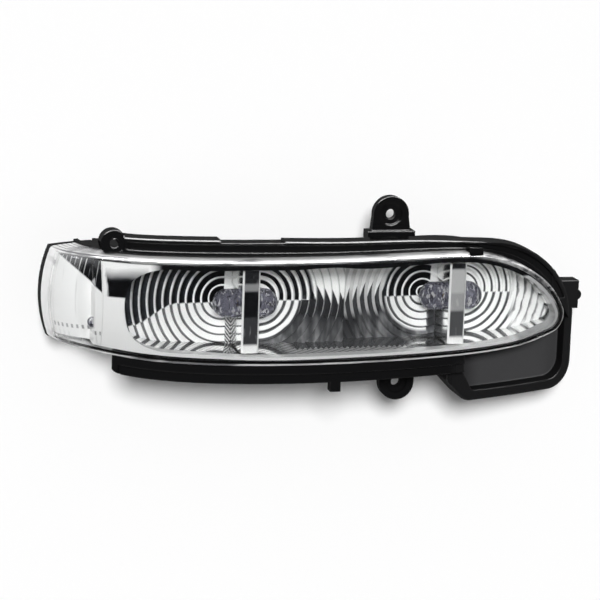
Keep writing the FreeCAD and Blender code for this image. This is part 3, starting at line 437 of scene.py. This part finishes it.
# each box: distance from the board, half thickness, middle height and depth, half sizes
FRAME_BOXES = (
    (2.6, 0.35, 0.0, 0.0, 3.4, 3.4),
    (4.6, 1.7, 2.3, 0.0, 0.35, 1.2),
    (4.6, 1.7, -2.3, 0.0, 0.35, 1.2),
    (6.3, 0.25, 0.0, 0.0, 2.6, 1.5),
)
CHIP_BOXES = ((3.15, 0.2, 0.0, 0.0, 0.9, 0.9),)
LEFT_BACK, RIGHT_BACK, HALF_BOARD = 17.0, 23.5, 0.6
FRAME_ORIGIN = Vector(tuple(Finish.START.values()))


def boxes(name, start, side, level, back, shapes, material):
    """Small boxes strung along a diode's axis, in one mesh."""
    made = bmesh.new()
    for far, half_long, up, behind, half_tall, half_deep in shapes:
        middle = Vector((start + side * far, back + behind, level + up))
        spread = Matrix.Diagonal((2 * half_long, 2 * half_deep, 2 * half_tall, 1.0))
        bmesh.ops.create_cube(made, size=1.0, matrix=Matrix.Translation(middle) @ spread)
    for vertex in made.verts:
        vertex.co = (vertex.co - FRAME_ORIGIN) * MM
    mesh = bpy.data.meshes.new(name)
    made.to_mesh(mesh)
    made.free()
    mesh.materials.append(material)
    piece = bpy.data.objects.new(name, mesh)
    bpy.context.scene.collection.objects.link(piece)
    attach(piece, "root")
    return piece


for word, cap_x, side, back in (
    ("one", LEFT_CAP_X, -1, LEFT_BACK),
    ("two", LEFT_CAP_X, 1, LEFT_BACK),
    ("three", RIGHT_CAP_X, -1, RIGHT_BACK),
    ("four", RIGHT_CAP_X, 1, RIGHT_BACK),
):
    place = (cap_x + side * HALF_BOARD, side, RING_LEVEL, back)
    framing = boxes("diode_frame_" + word, *place, FRAME_BOXES, inner_metal.material)
    seed = boxes("diode_chip_" + word, *place, CHIP_BOXES, inner_chip.material)

# Breather cap: one soft black rubber moulding, pushed over the vent pipe on
# the housing's back.
RUBBER_TONES = (0.018, 0.018, 0.018), (0.032, 0.032, 0.032)
soft, soft_grain = grained("soft black rubber", 900.0, *RUBBER_TONES, "vent_cap", Roughness=0.6)
soft.drive("Normal", soft.bump(soft_grain, 0.3, 0.1 * MM))

# Clear lens: one polished clear moulding, welded round the housing's edge, with
# upright flutes inside the wrapped end. Its rounded edge and skirt are overlaid
# with painted light, pale bands with darker streaks and dark lines at the flutes,
# and light from the lamps passes it without a shadow.
RIDGE_PITCH, SKIRT_TURN, PAINTED_EDGE_LIGHT_SHARE = 2.1, 69.0, 0.85
clear = Finish("clear plastic", Roughness=0.0, IOR=1.49, Transmission_Weight=1.0)
flow = clear.noise(22.0, 1.0)
clear.drive("Base Color", clear.blend(flow, (0.97, 0.98, 0.985, 1), (0.99, 0.99, 0.99, 1)))
clear.drive("Normal", clear.bump(flow, 0.03, 0.5 * MM))
across = clear.along("X")
back = clear.along("Y")
bend_x = across - WRAP_X
bend_y = back - WRAP_Y
bend = (bend_x * bend_x + bend_y * bend_y).root()
ridged_part = (1.0 - across.step(-72.0, -68.0)) * across.step(-100.0, -92.0)
ridges = (bend / RIDGE_PITCH).part().between(0.5, 0.8, 0.08) * ridged_part
upper_half = clear.along("Z").step(RING_LEVEL - 0.1, RING_LEVEL + 0.1)
outward = clear.facing("Z") * (upper_half * 2.0 - 1.0)
edge = outward.step(0.42, 0.62)
wrapped_end = (0.0 - bend_x).maths("ARCTAN2", 0.0 - bend_y) * math.degrees(1.0)
edge = edge.most(wrapped_end.step(SKIRT_TURN, SKIRT_TURN + 5.0) * across.step(-70.0, -74.0))
bands = clear.noise(60.0, 3.0, (0.6, 1.0, 6.0))
front_side = wrapped_end.step(SKIRT_TURN - 3.0, SKIRT_TURN)
# painted light on the lens's edge: pale bands, dark grey between them and at the flutes
painted_pale_edge = bands.step(0.36, 0.56).most(front_side) * (1.0 - ridges)
painted_edge_light = clear.blend(painted_pale_edge, (0.13, 0.13, 0.14, 1), (0.93, 0.93, 0.93, 1))
clear.layer(edge * PAINTED_EDGE_LIGHT_SHARE, "ShaderNodeBsdfPrincipled", {"Base Color": painted_edge_light, "Roughness": 0.25})
shade_ray = clear.add("ShaderNodeLightPath", output="Is Shadow Ray")
spread_ray = clear.add("ShaderNodeLightPath", output="Is Diffuse Ray")
clear.layer(shade_ray.most(spread_ray), "ShaderNodeBsdfTransparent", {"Color": (0.94, 0.94, 0.94, 1)})
clear.dress("clear_lens")

# Floor: the lamp lies on its back on a seamless pale floor, and is seen from
# its lens side. Seen from below, the floor is clear.
FLOOR_SIDE, FLOOR_GAP = 8.0, 0.3 * MM
half = FLOOR_SIDE / 2.0
level = cad_box[1][1] + FLOOR_GAP
floor_mesh = bpy.data.meshes.new("studio_floor")
corners = [(-half, level, -half), (half, level, -half), (half, level, half), (-half, level, half)]
floor_mesh.from_pydata(corners, [], [(0, 1, 2, 3)])
floor = bpy.data.objects.new("studio_floor", floor_mesh)
bpy.context.scene.collection.objects.link(floor)
pale = Finish("pale floor", Roughness=0.9, Specular_IOR_Level=0.0, Emission_Strength=1.0)
pale.drive("Base Color", pale.blend(pale.noise(3.0), (0.94, 0.94, 0.94, 1), (0.95, 0.95, 0.95, 1)))
direct = pale.add("ShaderNodeLightPath", output="Is Camera Ray")
shiny = pale.add("ShaderNodeLightPath", output="Is Glossy Ray")
through = pale.add("ShaderNodeLightPath", output="Is Transmission Ray")
looked_at = direct.most(shiny).most(through)
pale.drive("Emission Color", pale.blend(looked_at, (0, 0, 0, 1), (0.05, 0.05, 0.05, 1)))
behind = pale.add("ShaderNodeNewGeometry", output="Backfacing")
pale.layer(behind, "ShaderNodeBsdfTransparent")
floor_mesh.materials.append(pale.material)

# Studio light: white all round, but for a dark zone in front that only glossy
# and clear parts see. One soft sun shines from the front, a little to the left
# and above, and a strip lamp overhead gives the glossy edges their white lines.
world = bpy.data.worlds.new("studio")
bpy.context.scene.world = world
world.use_nodes = True
sky = Finish("studio", world.node_tree)
side = sky.add("ShaderNodeTexCoord", output="Generated")
toward = [sky.add("ShaderNodeSeparateXYZ", values={0: side}, output=axis) for axis in "XYZ"]
turned = toward[0].maths("ARCTAN2", 0.0 - toward[1]) * math.degrees(1.0)
raised = toward[2].maths("ARCSINE") * math.degrees(1.0)
dark_zone = raised.between(-70.0, 40.0, 4.0) * turned.between(-145.0, 90.0, 15.0)
shiny = sky.add("ShaderNodeLightPath", output="Is Glossy Ray")
through = sky.add("ShaderNodeLightPath", output="Is Transmission Ray")
seen = sky.add("ShaderNodeLightPath", output="Is Camera Ray")
mirrored = shiny.most(through) * (1.0 - seen)
AMBIENT, ZONE_DARKNESS = 0.14, 0.95
unseen_shade = (1.0 - mirrored) * AMBIENT + mirrored * (1.0 - dark_zone * ZONE_DARKNESS)
shade = seen + (1.0 - seen) * unseen_shade
background = world.node_tree.nodes["Background"]
background.inputs["Strength"].default_value = 1.0
world.node_tree.links.new(shade.socket, background.inputs["Color"])
LAMP_AIM = Vector((-0.04, 0.0, -0.035))


def outward_from(turn, height):
    """The direction away from the object, turned from its front and raised."""
    level_part = math.cos(height)
    return Vector((math.sin(turn) * level_part, -math.cos(turn) * level_part, math.sin(height)))


def lamp_from(name, kind, turn, height, distance=0.0):
    """A lamp that shines at the object from one side."""
    made = bpy.data.lights.new(name, kind)
    holder = bpy.data.objects.new(name, made)
    bpy.context.scene.collection.objects.link(holder)
    away = outward_from(math.radians(turn), math.radians(height))
    holder.location = away * distance + LAMP_AIM
    holder.rotation_euler = away.to_track_quat("Z", "Y").to_euler()
    return made, holder


sun, sun_object = lamp_from("soft_sun", "SUN", -13.0, 20.0)
sun.energy = 2.95
sun.angle = math.radians(13.0)
sun_object.visible_glossy = False
sun_object.visible_transmission = False
strip, strip_object = lamp_from("strip_lamp", "AREA", -6.0, 74.0, 1.2)
strip.shape = "RECTANGLE"
strip.size = 2.6
strip.size_y = 0.6
strip.energy = 210.0
strip_object.visible_diffuse = False

# Camera: a long lens at the photograph's place, from the front left, a little
# above and slightly rolled.
AZIMUTH = math.radians(-15.0)
ELEVATION = math.radians(12.0)
ROLL = math.radians(2.0)
DISTANCE = 1.0
HALF_WIDTH = 0.126
LOOKED_AT = Vector((5.36, 20.0, 0.967))
target = (LOOKED_AT - FRAME_ORIGIN) * MM
away = outward_from(AZIMUTH, ELEVATION)
right = Vector((math.cos(AZIMUTH), math.sin(AZIMUTH), 0.0))
upward = away.cross(right)
rolled_right = right * math.cos(ROLL) + upward * math.sin(ROLL)
rolled_up = upward * math.cos(ROLL) - right * math.sin(ROLL)
camera_data = bpy.data.cameras.new("camera")
camera_data.sensor_fit = "HORIZONTAL"
camera_data.angle = 2.0 * math.atan(HALF_WIDTH / DISTANCE)
camera = bpy.data.objects.new("camera", camera_data)
bpy.context.scene.collection.objects.link(camera)
turn = Matrix((rolled_right, rolled_up, away)).transposed().to_4x4()
camera.matrix_world = Matrix.Translation(target + away * DISTANCE) @ turn
bpy.context.scene.camera = camera
bpy.context.scene.view_settings.view_transform = "Standard"
